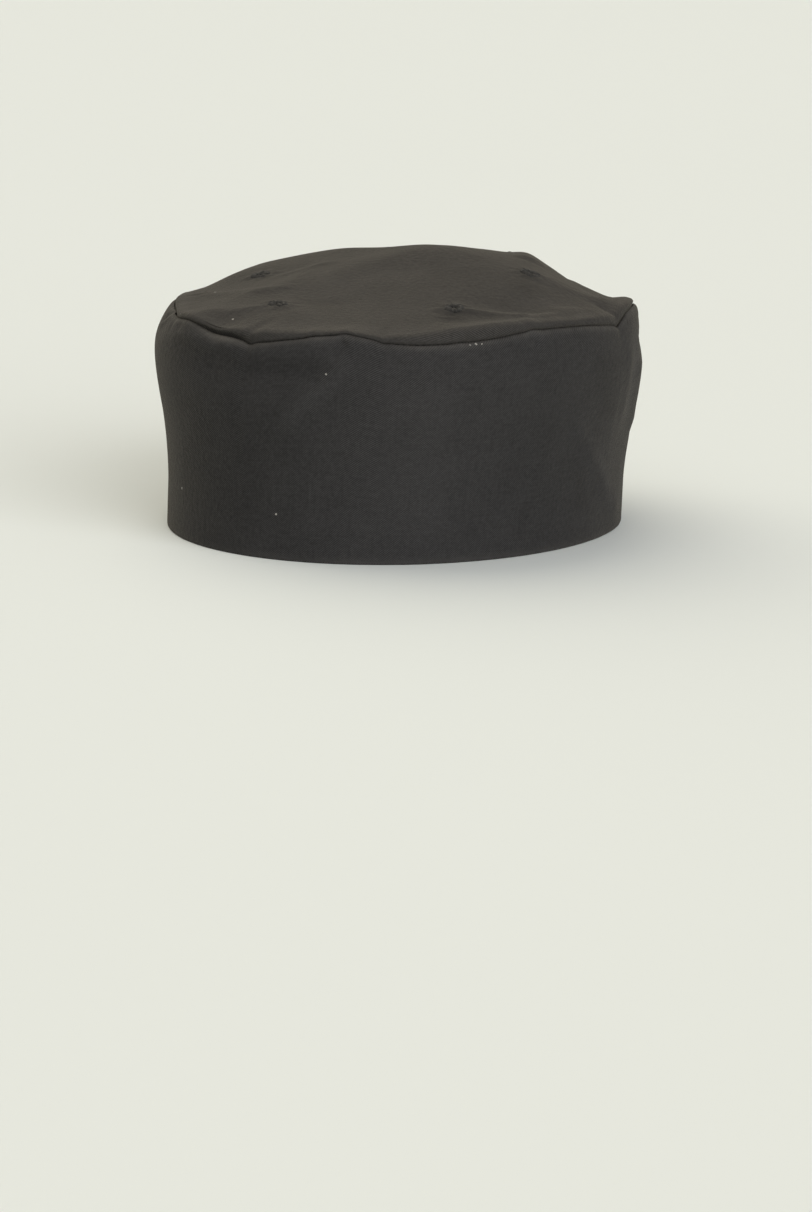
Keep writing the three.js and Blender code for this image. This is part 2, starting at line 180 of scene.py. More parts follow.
CROWN_CREASES = [Fold(*row) for row in [
    ("top of the ridge from the front left eyelet", (55, -35), (76, -19), 2.2, 0.5),
    ("end of that top", (76, -19), (79, 10), 2.4, 0.45),
    ("hollow behind that ridge", (60, -27), (76, -2), 3.5, -0.25),
    ("crease into the left corner", (71, -4), (76, 24), 2.4, 0.35),
    ("hollow beside that crease", (74, 8), (73, 24), 2.6, -0.2),
    ("line out of the front left eyelet", (50, -44), (57, -37), 2.2, -0.5),
    ("line beside the front eyelet", (-16, -92), (-9, -80), 2, 0.25),
    ("ridge on from the front right eyelet", (-38, -34), (-24, -15), 3, 0.5),
    ("top of the long crease", (-28, -64), (-16, -50), 3, 0.5),
    ("line out of the back left eyelet", (52, 28), (62, 38), 2.4, -0.4),
    ("dent below the front left eyelet", (60, -50), (55, -44), 5, -0.5),
    ("dent beside the front eyelet", (2, -64), (12, -56), 5, -0.35),
    ("short tuck at the front right corner", (-56, -66), (-50, -58), 2, -0.8),
]]

# Painted light and shade on the cloth: above 0 a painted highlight, below 0 painted shade.
# Rise is the share of the cloth's own shade, and the places are as in the folds.
BAND_PAINTED_LIGHT = [Fold(*row) for row in [
    ("rubbed crest of the diagonal fold", (32, 0.895), (14, 0.605), 3, 0.15),
    ("dark hollow under the front right edge", (-26, 0.88), (5, 0.91), 5, -0.17),
    # painted shade in the end of that hollow
    ("end of that hollow", (5, 0.91), (26, 0.85), 4, -0.17),
    ("dark cloth at the front", (2, 0.75), (0, 0.1), 26, -0.12),
    ("dark cloth at the front right", (-15, 0.75), (-17, 0.1), 12, -0.09),
    ("rubbed cloth at the front left", (50, 0.92), (46, 0.02), 19, 0.15),
    ("dark cloth on the left", (80, 0.7), (84, 0.1), 16, -0.09),
    ("dark cloth below the left corner", (102, 0.9), (103, 0.55), 12, -0.2),
    ("dark cloth low on the left", (92, 0.42), (99, 0.12), 6, -0.12),
    ("rubbed crest low on the left", (101, 0.46), (113, 0.1), 3, 0.2),
    ("rubbed fold near the left edge", (117, 0.9), (118.5, 0.5), 4, 0.3),
]]
CROWN_PAINTED_LIGHT = [Fold(*row) for row in [
    ("dark cloth before the front left eyelet", (61, -51), (51, -41), 5, -0.22),
    ("dark cloth before the front eyelet", (-4, -83), (8, -79), 4, -0.12),
    ("dark patch beside the front eyelet", (5, -64), (14, -64), 5, -0.2),
    ("dark cloth before the front right eyelet", (-37, -53), (-26, -45), 6, -0.2),
    ("dark cloth before the back left eyelet", (56, 2), (48, 12), 5, -0.2),
    ("rubbed cloth across the top, front part", (-10, -56), (-1, -34), 10, 0.13),
    ("rubbed cloth across the top, back part", (-1, -34), (14, -3), 13, 0.13),
    ("rubbed cloth on the left", (62, -12), (70, 8), 8, 0.1),
    ("rubbed edge at the front", (2, -98), (40, -82), 4, 0.12),
    ("rubbed edge at the front left", (40, -82), (64, -60), 6, 0.16),
    ("rubbed edge on the left", (64, -60), (80, -12), 5, 0.14),
]]

# Vent eyelets, each on a ray from the peak toward an angle of the edge, and how far along it.
# twist turns its puckers, and stand is how far its stitches stand above the middle of its node.
Eyelet = namedtuple("Eyelet", "node angle share twist stand")
EYELETS = [
    Eyelet("vent_eyelet_front", -5.5, 0.755, 0.3, 0.5),
    Eyelet("vent_eyelet_front_left", 58, 0.735, 1.4, 0.5),
    Eyelet("vent_eyelet_back_left", 104, 0.56, 2.2, 0.45),
    Eyelet("vent_eyelet_back", 178, 0.62, 3.7, 0.15),
    Eyelet("vent_eyelet_back_right", -127, 0.66, 4.4, 0.3),
    Eyelet("vent_eyelet_front_right", -61, 0.715, 5.6, 0.4),
]

# The crown's rolled edge, row by row from the seam to the top of the roll. out and up are fixed
# distances, over and lip are shares of those columns, and gape is the share of the opened seam.
Roll = namedtuple("Roll", "out up over lip gape")
ROLL_ROWS = [
    Roll(0, 0.3, 0, 0, 0),
    Roll(0, 0.35, 0.75, 0.13, 1),
    Roll(-0.15, 0.12, 1, 0.43, 0.7),
    Roll(-0.95, 0, 1, 0.78, 0.3),
    Roll(-3.2, 0, 0.8, 1, 0),
]
TOP_OF_ROLL = len(ROLL_ROWS) - 1
ALLOWANCE_END = 0.9

# Specks of lint caught on the cloth: on the band by angle and share of its height, and on the
# crown by plan point, with their size
Lint = namedtuple("Lint", "place size")
BAND_LINT = [
    Lint((26, 0.85), 0.5),
    Lint((13.6, 0.22), 0.5),
    Lint((-23.2, 0.24), 0.6),
    Lint((59.3, 0.9995), 0.3),
    Lint((60.8, 1), 0.45),
    Lint((62.2, 0.9995), 0.3),
]
CROWN_LINT = [
    Lint((-50, -56), 0.7),
    Lint((-10, -94), 0.55),
]

# Small turns of the seam, where its stitching pulls: the angle, the half width and the rise
Notch = namedtuple("Notch", "angle width rise")
SEAM_NOTCHES = [
    Notch(-27, 2.2, -0.3),
    Notch(-19, 3, 0.5),
    Notch(-8, 7, -1.9),
    Notch(5, 1.8, -0.9),
    Notch(22, 1.6, 0.3),
    Notch(30, 1.4, 0.5),
    Notch(39, 1.2, -0.5),
    Notch(57, 2.0, 0.3),
    Notch(76, 1.6, 0.5),
    Notch(108, 1.3, -0.8),
]

# The stretch at the front right where the seam gapes: its angles, how far the crown's edge rises,
# how far the band's rim and the crown's edge are drawn in, and the painted shade inside the gap
GAPE_CENTRE = -5
GAPE_REACH = 10
GAPE_RISE = 1.0
GAPE_TUCK = 1.6
CROWN_TUCK = 0.7
GAPE_SHADE = 1.7

MEAN_RADIUS = math.hypot(HEM_LENGTH / 2, HEM_WIDTH / 2) / math.sqrt(2)


# Settings

def metres(name, description, default, precision=5):
    return FloatProperty(
        name=name, description=description, default=default, unit="LENGTH", precision=precision)


def degrees(name, description, default):
    return FloatProperty(
        name=name, description=description, default=math.radians(default), subtype="ANGLE")


def rgb(name, description, default):
    return FloatVectorProperty(
        name=name, description=description, default=default, subtype="COLOR", min=0, max=1)


def power(name, description, default):
    return FloatProperty(name=name, description=description, default=default, min=0)


class CapSizes(bpy.types.PropertyGroup):
    """Sizes of the cloth and the thread"""

    band_wall: metres("Band wall", "Thickness of the band's doubled cloth", 0.0018, 4)
    crown_wall: metres("Crown wall", "Thickness of the crown's cloth", 0.0012, 4)
    warp: metres(
        "Warp spacing", "Distance from one upright yarn of the twill to the next", 0.000356, 6)
    weft: metres(
        "Weft spacing", "Distance from one level yarn of the twill to the next", 0.000277, 6)
    ripple: metres("Seam ripple", "How far the seam's edge wanders between its stitches", 0.00028)
    wrinkle: metres("Wrinkle depth", "How far the slack cloth rises and falls", 0.00035)
    thread: metres("Thread radius", "Radius of the eyelets' satin stitch thread", 0.00022)
    stitches: IntProperty(
        name="Stitches", description="Satin stitches around one eyelet",
        default=38, min=12, max=60)


class CapColours(bpy.types.PropertyGroup):
    """Colours of the cloth, the thread and the studio"""

    band: rgb("Band", "Charcoal of the band's yarns", (0.0422, 0.0408, 0.0412))
    # The crown's charcoal is the band's cloth painted lighter, for the light on its upturned top
    crown: rgb("Crown", "Charcoal of the crown's yarns", (0.049, 0.0459, 0.0433))
    thread: rgb("Thread", "Colour of the eyelets' thread", (0.028, 0.0265, 0.0245))
    fuzz: rgb("Fuzz", "Tint of the light caught by the cloth's fibres", (1.0, 0.9, 0.72))
    fuzz_weight: FloatProperty(
        name="Fuzz weight", description="How much light the cloth's fibres catch",
        default=0.11, min=0, max=1, subtype="FACTOR")
    floor: rgb("Floor", "Colour of the pale floor", (0.805, 0.838, 0.827))


class CapStudio(bpy.types.PropertyGroup):
    """The camera and the light"""

    azimuth: degrees("Azimuth", "Camera's direction, from the front toward the wearer's left", 37)
    elevation: degrees("Elevation", "Camera's height as an angle above the hem", 11.83)
    roll: degrees("Roll", "Turn of the camera about its own axis", 2.22)
    distance: metres("Distance", "Distance from the camera to the cap's axis", 2.0, 2)
    aside: metres(
        "Aside", "How far the middle of the view is to the right of the axis", 0.005, 4)
    below: metres("Below", "How far the middle of the view is below the hem", 0.0351, 4)
    lens: FloatProperty(
        name="Lens", description="Focal length on a sensor 36 mm high", default=150, min=20)
    key: power("Key light", "Strength of the soft light beside the camera", 2.02)
    back: power("Back light", "Strength of the broad light behind the cap", 1.7)
    top: power("Top light", "Strength of the light overhead", 0.5)
    sky: power("Surroundings", "Strength of the even light all around", 0.22)


# Curves and folds

SEED_STEPS = (17.3, 5.1, 9.7)
NARROW_WAVES = 0.4


def column(rows, name):
    return np.array([getattr(row, name) for row in rows], float)


def smooth_through(xs, ys, x, start_slope=None):
    """A smooth curve through a table's rows, read at x. Each row's slope follows its neighbours."""
    xs = np.asarray(xs, float)
    ys = np.asarray(ys, float)
    if ys.ndim == 1:
        ys = np.repeat(ys[:, None], x.size, 1)
    slopes = np.empty_like(ys)
    slopes[1:-1] = (ys[2:] - ys[:-2]) / (xs[2:] - xs[:-2])[:, None]
    slopes[0] = (ys[1] - ys[0]) / (xs[1] - xs[0]) if start_slope is None else start_slope
    slopes[-1] = (ys[-1] - ys[-2]) / (xs[-1] - xs[-2])
    i = np.clip(np.searchsorted(xs, x, "right") - 1, 0, len(xs) - 2)
    at = np.arange(x.size)
    step = xs[i + 1] - xs[i]
    t = (x - xs[i]) / step
    start = (2 * t**3 - 3 * t**2 + 1) * ys[i, at] + (t**3 - 2 * t**2 + t) * step * slopes[i, at]
    end = (3 * t**2 - 2 * t**3) * ys[i + 1, at] + (t**3 - t**2) * step * slopes[i + 1, at]
    return start + end


def around(name, angle):
    """One column of DIRECTIONS at any angle, smooth all the way round."""
    angles = column(DIRECTIONS, "angle")
    xs = np.concatenate([angles - FULL_TURN, angles, angles + FULL_TURN])
    return smooth_through(xs, np.tile(column(DIRECTIONS, name), 3), angle)


def smoothstep(low, high, x):
    t = np.clip((x - low) / (high - low), 0, 1)
    return t * t * (3 - 2 * t)


def bump(x):
    """1 at 0, and almost nothing from 2 on."""
    return np.exp(-(x**2))


def fold_height(folds, x, y):
    """The height that folds add at plan points, each a soft ridge that fades at its ends."""
    height = np.zeros_like(x)
    for fold in folds:
        run_x = fold.end[0] - fold.start[0]
        run_y = fold.end[1] - fold.start[1]
        length = math.hypot(run_x, run_y)
        from_x = x - fold.start[0]
        from_y = y - fold.start[1]
        reach = np.clip((from_x * run_x + from_y * run_y) / length, 0, length)
        distance = np.hypot(from_x - run_x / length * reach, from_y - run_y / length * reach)
        near_end = np.minimum(reach, length - reach) / (FOLD_END_SHARE * length)
        fade = np.minimum(1, near_end + FOLD_END_HEIGHT)
        height += fold.rise * fade * bump(distance / fold.width)
    return height


def laid_flat(angle, share):
    """A point of the band on its cloth laid flat: arc length and height."""
    return np.radians(angle) * MEAN_RADIUS, share * SEAM_HEIGHT


def band_folds(folds):
    return [
        fold._replace(start=laid_flat(*fold.start), end=laid_flat(*fold.end)) for fold in folds
    ]


def cloth_noise(points, wavelength, seed):
    """Smooth noise between -1 and 1 at each point, the same on every run."""
    shift = Vector([step * seed for step in SEED_STEPS])
    return np.array([noise.noise(Vector(point) / wavelength + shift) for point in points])


def ring_noise(angle, wavelength, seed):
    """Smooth noise around the cap, closed on itself."""
    turn = np.radians(angle)
    points = np.stack([np.sin(turn) * MEAN_RADIUS, np.cos(turn) * MEAN_RADIUS, 0 * turn], 1)
    return cloth_noise(points, wavelength, seed)


def slack_wrinkles(points, waves, seed):
    """Wide soft waves with narrow, lower ones on them."""
    wide, narrow = waves
    return cloth_noise(points, wide, seed) + NARROW_WAVES * cloth_noise(points, narrow, seed + 1)


# The cap's surfaces

# The crown's edge is held at the seam, and ripples freely from this row of the roll on
LOOSE_ROW = 1.5
TUCK_ROWS = (0.3, 2)
OUT_RIPPLE = 7
UP_RIPPLE = 6
UP_RIPPLE_SHARE = 0.7
FOLDS_FADE_FROM = 0.92


def oval_point(angle, out):
    """A plan point on the hem's oval, moved out along the oval's own outward direction."""
    turn = np.radians(angle)
    normal_x = HEM_LENGTH * np.sin(turn)
    normal_y = -HEM_WIDTH * np.cos(turn)
    size = np.hypot(normal_x, normal_y)
    x = HEM_WIDTH / 2 * np.sin(turn) + normal_x / size * out
    y = -HEM_LENGTH / 2 * np.cos(turn) + normal_y / size * out
    return x, y


def seam_height(angle):
    height = SEAM_HEIGHT + around("lift", angle)
    for notch in SEAM_NOTCHES:
        height += notch.rise * bump((angle - notch.angle) / notch.width)
    return height


def gape(angle):
    """How far the seam gapes, from 0 to 1."""
    return np.exp(-(((angle - GAPE_CENTRE) / GAPE_REACH) ** 4))


def seam_out(angle):
    return SEAM_INSET - around("tuck", angle) - GAPE_TUCK * gape(angle)


def band_out(angle, share):
    """How far the band stands out from the hem's oval, without its puckers."""
    flare = smooth_through(column(FLARE, "share"), column(FLARE, "out"), share)
    fade = np.clip((1 - share) / BULGE_FADE, 0, 1)
    bulge = 1 + (around("bulge", angle) - 1) * fade
    fold = fold_height(band_folds(BAND_FOLDS), *laid_flat(angle, share))
    drawn_in = around("tuck", angle) + GAPE_TUCK * gape(angle) * (1 - fade)
    return flare * bulge + fade * fold - (1 - fade) ** 2 * drawn_in


def roll_point(angle, row, settings):
    """A point of the crown's rolled edge, row counted from the seam to the top of the roll."""
    rows = np.arange(len(ROLL_ROWS))
    share = {name: smooth_through(rows, column(ROLL_ROWS, name), row) for name in Roll._fields}
    ripple = settings.ripple / MM * smoothstep(0, LOOSE_ROW, row)
    out = seam_out(angle) - PIECE_GAP + share["out"] + share["over"] * around("over", angle)
    out += CROWN_TUCK * gape(angle) * smoothstep(*TUCK_ROWS, row)
    out += ripple * ring_noise(angle, OUT_RIPPLE, seed=3)
    up = seam_height(angle) + share["up"] + share["lip"] * around("lip", angle)
    up += share["gape"] * GAPE_RISE * gape(angle)
    up += UP_RIPPLE_SHARE * ripple * ring_noise(angle, UP_RIPPLE, seed=4)
    x, y = oval_point(angle, out)
    return x, y, up


def crown_point(angle, share, settings):
    """A point of the crown's top face, on a ray from the peak to the rolled edge."""
    edge_x, edge_y, edge_z = roll_point(angle, np.full_like(angle, TOP_OF_ROLL), settings)
    between = [around(name, angle) for name in ("inner", "mid", "outer")]
    heights = np.stack([np.full_like(angle, PEAK_Z), *between, edge_z])
    x = PEAK_X + (edge_x - PEAK_X) * share
    y = PEAK_Y + (edge_y - PEAK_Y) * share
    folds = fold_height(CROWN_FOLDS, x, y) * (1 - smoothstep(FOLDS_FADE_FROM, 1, share))
    z = smooth_through(CROWN_SHARES, heights, share, 0) + folds
    return x, y, z


# Meshes

def move_verts(bm, x, y, z):
    """Puts each vertex at its place, given in millimetres."""
    for vert, place in zip(bm.verts, np.stack([x, y, z], 1) * MM):
        vert.co = place


def lay_cloth(bm, u, v):
    """Gives the mesh its cloth map, in metres along the yarns."""
    layer = bm.loops.layers.uv.new("cloth")
    places = np.stack([u, v], 1) * MM
    for face in bm.faces:
        for loop in face.loops:
            loop[layer].uv = places[loop.vert.index]


def note_on_verts(bm, name, values):
    """Keeps one number for each vertex as an attribute that the materials read."""
    layer = bm.verts.layers.float.new(name)
    for vert, value in zip(bm.verts, values):
        vert[layer] = value


def linked_object(bm, name, material):
    mesh = bpy.data.meshes.new(name)
    bm.to_mesh(mesh)
    bm.free()
    mesh.materials.append(material)
    made = bpy.data.objects.new(name, mesh)
    bpy.context.scene.collection.objects.link(made)
    return made


def finished_piece(bm, name, material, replaced):
    """Turns the mesh into a piece that rides on the cap and stands for a node of the frame."""
    piece = linked_object(bm, name, material)
    piece.data.shade_smooth()
    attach(piece, "root")
    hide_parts(replaced)
    return piece


# The band

# Its rows, which crowd together toward the seam
HEM_ROUND = 0.75
HEM_ROUND_ROWS = 4
BAND_LOWER_ROWS = 54
BAND_UPPER_ROWS = 26
BAND_INNER_ROWS = 34
FIRST_ROW = 0.022
UPPER_START = 0.85
UPPER_CROWDING = 1.5
INNER_CROWDING = 1.3
BACK_SEAM_DEPTH = 0.5
BACK_SEAM_WIDTH = 0.7
BACK_SEAM_SHADE = 0.5

# Its slack grows and fades between these shares of its height, in waves that run upright
SLACK_FROM = (0.08, 0.35)
SLACK_TO = (0.9, 0.995)
BAND_WAVES = (34, 14)
WAVE_UPRIGHT = 0.6
BAND_EDGE = 0.93
BAND_OUT_RIPPLE = 8
BAND_UP_RIPPLE = 7
BAND_UP_RIPPLE_SHARE = 0.5

# How worn it is at its hem, how much painted highlight its rim has away from the gaping seam, and
# how far these and the painted shade along the seam reach
HEM_WEAR = 0.3
HEM_WEAR_REACH = 2.2
RIM_HIGHLIGHT = 0.5
RIM_HIGHLIGHT_REACH = 1.6
SEAM_SHADE_REACH = 0.22

Section = namedtuple("Section", "share inward rise outside")


def band_section(wall):
    """The band's closed section: over the hem's rounding, up the outside and down the inside."""
    turns = np.linspace(0, math.pi / 2, HEM_ROUND_ROWS)
    rounding = [(HEM_ROUND * (1 - math.sin(t)), HEM_ROUND * (1 - math.cos(t))) for t in turns]
    outer_hem = [Section(0, inward, rise, 1) for inward, rise in rounding]
    lower = np.linspace(FIRST_ROW, UPPER_START, BAND_LOWER_ROWS, endpoint=False)
    upper = 1 - (1 - UPPER_START) * np.linspace(1, 0, BAND_UPPER_ROWS) ** UPPER_CROWDING
    outside = [Section(share, 0, 0, 1) for share in np.concatenate([lower, upper])]
    down = 1 - np.linspace(0, 1, BAND_INNER_ROWS + 2)[1:-1] ** INNER_CROWDING
    inside = [Section(share, wall, 0, 0) for share in down]
    inner_hem = [Section(0, wall - inward, rise, 0) for inward, rise in reversed(rounding)]
    return outer_hem + outside + inside + inner_hem


def band_mesh(settings):
    """A sheet bent round the cap, its rows folded along the section and joined to each other."""
    wall = settings.band_wall / MM
    section = band_section(wall)
    bm = bmesh.new()
    bmesh.ops.create_grid(bm, x_segments=BAND_STEPS, y_segments=len(section), size=1)
    bm.verts.index_update()
    sheet = np.array([vert.co[:] for vert in bm.verts])
    angle = sheet[:, 0] * FULL_TURN / 2
    row = np.round((sheet[:, 1] + 1) / 2 * len(section)).astype(int)
    share, inward, rise, outside = (
        column(section, name)[row % len(section)] for name in Section._fields)

    out = band_out(angle, share)
    room = np.maximum(out - seam_out(angle), 0)
    upper_half = share > 0.5
    body = out - np.minimum(inward, np.where(upper_half, room, inward))
    flat_x, flat_y = laid_flat(angle, share)
    puckers = fold_height(band_folds(BAND_PUCKERS), flat_x, flat_y)
    slack = smoothstep(*SLACK_FROM, share) * (1 - smoothstep(*SLACK_TO, share))
    plan_x, plan_y = oval_point(angle, 0 * angle)
    upright_points = np.stack([plan_x, plan_y, WAVE_UPRIGHT * share * SEAM_HEIGHT], 1)
    wrinkles = slack_wrinkles(upright_points, BAND_WAVES, seed=1)
    to_back = np.radians(180 - np.abs(angle)) * MEAN_RADIUS
    join = BACK_SEAM_DEPTH * bump(to_back / BACK_SEAM_WIDTH) * outside
    ripple = settings.ripple / MM * smoothstep(BAND_EDGE, 1, share)
    body += puckers + settings.wrinkle / MM * slack * wrinkles - join
    body += ripple * ring_noise(angle, BAND_OUT_RIPPLE, seed=5)
    x, y = oval_point(angle, body)
    z = share * seam_height(angle) + rise
    z += BAND_UP_RIPPLE_SHARE * ripple * ring_noise(angle, BAND_UP_RIPPLE, seed=6)
    move_verts(bm, x, y, z)

    steps = np.hypot(np.diff(column(section, "share")) * SEAM_HEIGHT,
                     np.diff(column(section, "inward")))
    climbed = np.concatenate([[0], np.cumsum(steps), [np.sum(steps) + wall]])
    lay_cloth(bm, flat_x, climbed[row])
    above_hem = share * SEAM_HEIGHT
    below_seam = (1 - share) * SEAM_HEIGHT
    hem = HEM_WEAR * bump(above_hem / HEM_WEAR_REACH)
    # Painted highlight on the rim, strongest where the seam gapes
    rim = bump(below_seam / RIM_HIGHLIGHT_REACH) * (RIM_HIGHLIGHT + (1 - RIM_HIGHLIGHT) * gape(angle))
    note_on_verts(bm, "wear", np.clip(hem + rim, 0, 1) * outside)
    # Painted shade along the seam, and darker cloth in the back join's groove
    seam = bump(below_seam / SEAM_SHADE_REACH) + join / BACK_SEAM_DEPTH * BACK_SEAM_SHADE
    note_on_verts(bm, "seam", np.clip(seam, 0, 1))
    # Painted light and shade of the band's crests, hollows and broad patches
    note_on_verts(bm, "tone", fold_height(band_folds(BAND_PAINTED_LIGHT), flat_x, flat_y) * outside)
    bmesh.ops.remove_doubles(bm, verts=bm.verts, dist=JOIN_DISTANCE)
    bmesh.ops.recalc_face_normals(bm, faces=bm.faces)
    return bm


# The crown

ROLL_STEPS = 20
ALLOWANCE_STEPS = 6
NEARLY_NONE = 1e-9

# How far out an eyelet's hole is cut and then drawn, and the steps that its facing is read over
EYELET_CUT = 2.4
EYELET_EDGE = 2.8
PROBE_ANGLE = 2
PROBE_SHARE = 0.03

# The cloth gathers round each eyelet in uneven folds, with small lumps about them
PUCKER_REACH = 2.8
PUCKER_RISE = 0.45
PUCKER_DEPTH = 0.22
PUCKER_FOLDS = 6
PUCKER_UNEVEN = 1.5
PUCKER_PAIR = 0.6
PUCKER_START = (0.7, 1.3)
PUCKER_FADE = 1.3
LUMP_LENGTH = 2.6
LUMP_REACH = 9
LUMP_RISE = 0.28

# Its slack and details fade toward the edge, which is smoothed into the roll
CROWN_WAVES = (30, 13)
TOP_EDGE = 0.93
SMOOTH_FROM = 0.95
SMOOTH_TO_ROW = ROLL_STEPS / 2
SMOOTH_ROUNDS = 3

# How far apart the roll's steps lie, how worn its top is, how far the painted shade at its foot
# reaches, and the rows over which the painted shade inside the gap fades
STEP_LENGTH = 0.3
ROLL_WEAR = 0.15
ROLL_WEAR_STEPS = 5
ROLL_WEAR_FROM = 0.97
ROLL_SHADE_REACH = 0.4
GAP_ROWS = (0.5, 1)


def eyelet_place(eyelet, settings):
    """Where an eyelet sits, from its node's box, and the way that it faces."""
    low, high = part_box(eyelet.node)
    centre = (low + high) / 2
    angles = np.array([0, PROBE_ANGLE, 0]) + eyelet.angle
    shares = np.array([0, 0, PROBE_SHARE]) + eyelet.share
    here, beside, beyond = np.stack(crown_point(angles, shares, settings), 1)
    facing = Vector(beyond - here).cross(Vector(beside - here)).normalized()
    return centre + facing * eyelet.stand * MM, facing


def from_eyelet(eyelet, x, y):
    """Where plan points lie from an eyelet's middle."""
    low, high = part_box(eyelet.node)
    return x - (low.x + high.x) / 2 / MM, y - (low.y + high.y) / 2 / MM


def eyelet_distance(x, y):
    """How far a plan point is from the middle of the nearest eyelet."""
    nearest = np.full_like(x, HEM_LENGTH)
    for eyelet in EYELETS:
        nearest = np.minimum(nearest, np.hypot(*from_eyelet(eyelet, x, y)))
    return nearest


def eyelet_puckers(x, y):
    """The cloth's rise around the eyelets, gathered toward each by its stitches."""
    height = np.zeros_like(x)
    for eyelet in EYELETS:
        from_x, from_y = from_eyelet(eyelet, x, y)
        away = np.hypot(from_x, from_y)
        turn = np.arctan2(from_y, from_x) + eyelet.twist
        beyond = np.maximum(away - EYELET_RADIUS, 0) / PUCKER_REACH
        folds = np.cos(PUCKER_FOLDS * turn + PUCKER_UNEVEN * np.sin(turn))
        folds += PUCKER_PAIR * np.cos(2 * turn)
        gathered = smoothstep(*PUCKER_START, away / EYELET_RADIUS) * bump(beyond / PUCKER_FADE)
        height += PUCKER_RISE * bump(beyond) + PUCKER_DEPTH * folds * gathered
    return height


def on_square(a, b):
    """The angle and the share of a point of a square laid out as rings around its middle."""
    share = np.maximum(np.abs(a), np.abs(b))
    safe_a = np.where(np.abs(a) < NEARLY_NONE, 1, a)
    safe_b = np.where(np.abs(b) < NEARLY_NONE, 1, b)
    sideways = np.where(a > 0, 45 * b / safe_a, 180 + 45 * b / safe_a)
    forward = np.where(b > 0, 90 - 45 * a / safe_b, 270 - 45 * a / safe_b)
    theta = np.where(np.abs(a) >= np.abs(b), sideways, forward)
    return (theta + 90 + 180) % FULL_TURN - 180, share


def crown_mesh(settings):
    """A grid bent to rings, its border extruded over the rolled edge and down inside the band."""
    bm = bmesh.new()
    bmesh.ops.create_grid(bm, x_segments=CROWN_GRID, y_segments=CROWN_GRID, size=1)
    border = [edge for edge in bm.edges if edge.is_boundary]
    for _ in range(ROLL_STEPS + ALLOWANCE_STEPS):
        made = bmesh.ops.extrude_edge_only(bm, edges=border)["geom"]
        verts = [item for item in made if isinstance(item, bmesh.types.BMVert)]
        border = [item for item in made if isinstance(item, bmesh.types.BMEdge)]
        bmesh.ops.translate(bm, verts=verts, vec=(0, 0, -1))
    bm.verts.index_update()
    square = np.array([vert.co[:] for vert in bm.verts])
    angle, share = on_square(square[:, 0], square[:, 1])
    row = np.round(-square[:, 2])

    top = np.stack(crown_point(angle, share, settings), 1)
    roll_row = TOP_OF_ROLL * np.clip(1 - row / ROLL_STEPS, 0, 1)
    roll = np.stack(roll_point(angle, roll_row, settings), 1)
    down = 1 - (1 - ALLOWANCE_END) * (row - ROLL_STEPS) / ALLOWANCE_STEPS
    room = band_out(angle, down) - settings.band_wall / MM - PIECE_GAP
    inner_x, inner_y = oval_point(angle, np.minimum(seam_out(angle) - PIECE_GAP, room))
    allowance = np.stack([inner_x, inner_y, down * seam_height(angle)], 1)
    rolled = (row > 0)[:, None]
    inside = (row > ROLL_STEPS)[:, None]
    points = np.where(inside, allowance, np.where(rolled, roll, top))

    on_top = (row == 0) * (1 - smoothstep(TOP_EDGE, 1, share))
    x, y, z = points.T
    flat_points = np.stack([x, y, 0 * x], 1)
    wrinkles = slack_wrinkles(flat_points, CROWN_WAVES, seed=7)
    lumps = LUMP_RISE * cloth_noise(flat_points, LUMP_LENGTH, seed=9)
    lumps *= bump(eyelet_distance(x, y) / LUMP_REACH)
    detail = fold_height(CROWN_CREASES, x, y) + eyelet_puckers(x, y) + lumps
    z = z + on_top * (settings.wrinkle / MM * wrinkles + detail)
    move_verts(bm, x, y, z)
    near_edge = (share > SMOOTH_FROM) & (row < SMOOTH_TO_ROW)
    loose = [vert for vert, near in zip(bm.verts, near_edge) if near]
    for _ in range(SMOOTH_ROUNDS):
        bmesh.ops.smooth_vert(
            bm, verts=loose, factor=0.5, use_axis_x=True, use_axis_y=True, use_axis_z=True)
    bmesh.ops.recalc_face_normals(bm, faces=bm.faces)
    if bm.faces[0].normal.z < 0:
        bmesh.ops.reverse_faces(bm, faces=bm.faces)

    edge = crown_point(angle, np.ones_like(angle), settings)
    outward = np.stack(oval_point(angle, 1 + 0 * angle)) - np.stack(oval_point(angle, 0 * angle))
    fallen = row * STEP_LENGTH
    lay_cloth(bm, *(
        np.where(row > 0, edge[axis] + outward[axis] * fallen, flat_points[:, axis])
        for axis in (0, 1)))
    near_top = np.where(row > 0, bump(row / ROLL_WEAR_STEPS), smoothstep(ROLL_WEAR_FROM, 1, share))
    note_on_verts(bm, "wear", ROLL_WEAR * near_top)
    # Painted shade at the foot of the roll by the seam and inside the gaping seam
    from_seam = np.abs(ROLL_STEPS - row) * STEP_LENGTH
    at_seam = bump(from_seam / ROLL_SHADE_REACH) * (row > 0)
    in_gap = GAPE_SHADE * gape(angle) * (1 - smoothstep(*GAP_ROWS, roll_row)) * (row > 0)
    note_on_verts(bm, "seam", np.maximum(at_seam, in_gap))
    # Painted light and shade of the crown's ridges, dents, top and edge
    note_on_verts(bm, "tone", fold_height(CROWN_PAINTED_LIGHT, x, y))
    cut_eyelets(bm, settings)
    return bm


def cut_eyelets(bm, settings):
    """A hole for each eyelet, its edge drawn to a circle under the stitches."""
    for eyelet in EYELETS:
        centre, facing = eyelet_place(eyelet, settings)
        inner = [vert for vert in bm.verts if (vert.co - centre).length < EYELET_CUT * MM]
        bmesh.ops.delete(bm, geom=inner, context="VERTS")
        for vert in bm.verts:
            if vert.is_boundary and (vert.co - centre).length < 2 * EYELET_EDGE * MM:
                level = (vert.co - centre).dot(facing)
                flat = vert.co - centre - facing * level
                vert.co = centre + flat.normalized() * EYELET_EDGE * MM + facing * level


# The eyelets' stitching

